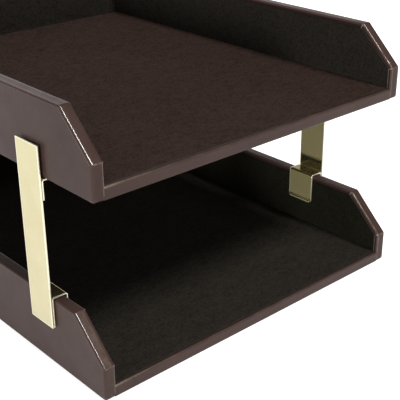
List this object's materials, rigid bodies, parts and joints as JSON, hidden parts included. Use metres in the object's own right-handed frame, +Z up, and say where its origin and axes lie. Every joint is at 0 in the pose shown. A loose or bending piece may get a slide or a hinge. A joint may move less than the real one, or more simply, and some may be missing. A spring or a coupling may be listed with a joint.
{
  "type": "letter tray",
  "caption": "Front-loading leather letter trays, one above the other, on flat brass posts that hook over the lower walls and carry the upper walls.",
  "frame": {"origin": "under the middle of the lower tray, on the surface that it stands on", "axes": "+X to the right seen from the open front, +Y from the open front to the back wall, +Z up"},
  "size_m": [0.2724, 0.3302, 0.1814],
  "materials": {
    "cover_leather": "dark chocolate brown leather with a fine grain and a soft sheen",
    "lining_suede": "very dark brown suede lining, matte, with a short nap",
    "board_wood": "plain thin board, hidden inside the leather",
    "base_cloth": "dark brown felt",
    "post_brass": "mirror polished, pale gold",
    "pin_steel": "plain bright steel, hidden inside the boards"
  },
  "bodies": {
    "lower_tray": {"lower_left_side_board": "board_wood", "lower_left_side_cover": "cover_leather", "lower_left_side_lining": "lining_suede", "lower_left_floor_pin_front": "pin_steel", "lower_left_floor_pin_rear": "pin_steel", "lower_left_back_pin": "pin_steel", "lower_right_side_board": "board_wood", "lower_right_side_cover": "cover_leather", "lower_right_side_lining": "lining_suede", "lower_right_floor_pin_front": "pin_steel", "lower_right_floor_pin_rear": "pin_steel", "lower_right_back_pin": "pin_steel", "lower_back_board": "board_wood", "lower_back_cover": "cover_leather", "lower_back_lining": "lining_suede", "lower_floor_board": "board_wood", "lower_floor_cover": "cover_leather", "lower_floor_lining": "lining_suede", "lower_base_cloth": "base_cloth", "lower_floor_back_pin_left": "pin_steel", "lower_floor_back_pin_right": "pin_steel"},
    "upper_tray": {"upper_left_side_board": "board_wood", "upper_left_side_cover": "cover_leather", "upper_left_side_lining": "lining_suede", "upper_left_floor_pin_front": "pin_steel", "upper_left_floor_pin_rear": "pin_steel", "upper_left_back_pin": "pin_steel", "upper_right_side_board": "board_wood", "upper_right_side_cover": "cover_leather", "upper_right_side_lining": "lining_suede", "upper_right_floor_pin_front": "pin_steel", "upper_right_floor_pin_rear": "pin_steel", "upper_right_back_pin": "pin_steel", "upper_back_board": "board_wood", "upper_back_cover": "cover_leather", "upper_back_lining": "lining_suede", "upper_floor_board": "board_wood", "upper_floor_cover": "cover_leather", "upper_floor_lining": "lining_suede", "upper_base_cloth": "base_cloth", "upper_floor_back_pin_left": "pin_steel", "upper_floor_back_pin_right": "pin_steel"},
    "front_left_post": {"front_left_post_upright": "post_brass", "front_left_post_hook": "post_brass", "front_left_post_ledge": "post_brass"},
    "front_right_post": {"front_right_post_upright": "post_brass", "front_right_post_hook": "post_brass", "front_right_post_ledge": "post_brass"},
    "rear_left_post": {"rear_left_post_upright": "post_brass", "rear_left_post_hook": "post_brass", "rear_left_post_ledge": "post_brass"},
    "rear_right_post": {"rear_right_post_upright": "post_brass", "rear_right_post_hook": "post_brass", "rear_right_post_ledge": "post_brass"}
  },
  "joints": [
    {"name": "upper_tray_lift", "type": "slide", "parent": "lower_tray", "child": "upper_tray", "axis": [0, 0, 1], "range_m": [0, 0.04]},
    {"name": "front_left_post_slide", "type": "slide", "parent": "lower_tray", "child": "front_left_post", "axis": [0, 1, 0], "range_m": [-0.019, 0.09]},
    {"name": "front_right_post_slide", "type": "slide", "parent": "lower_tray", "child": "front_right_post", "axis": [0, 1, 0], "range_m": [-0.037, 0.07]},
    {"name": "rear_left_post_slide", "type": "slide", "parent": "lower_tray", "child": "rear_left_post", "axis": [0, 1, 0], "range_m": [-0.09, 0.038]},
    {"name": "rear_right_post_slide", "type": "slide", "parent": "lower_tray", "child": "rear_right_post", "axis": [0, 1, 0], "range_m": [-0.07, 0.056]}
  ]
}
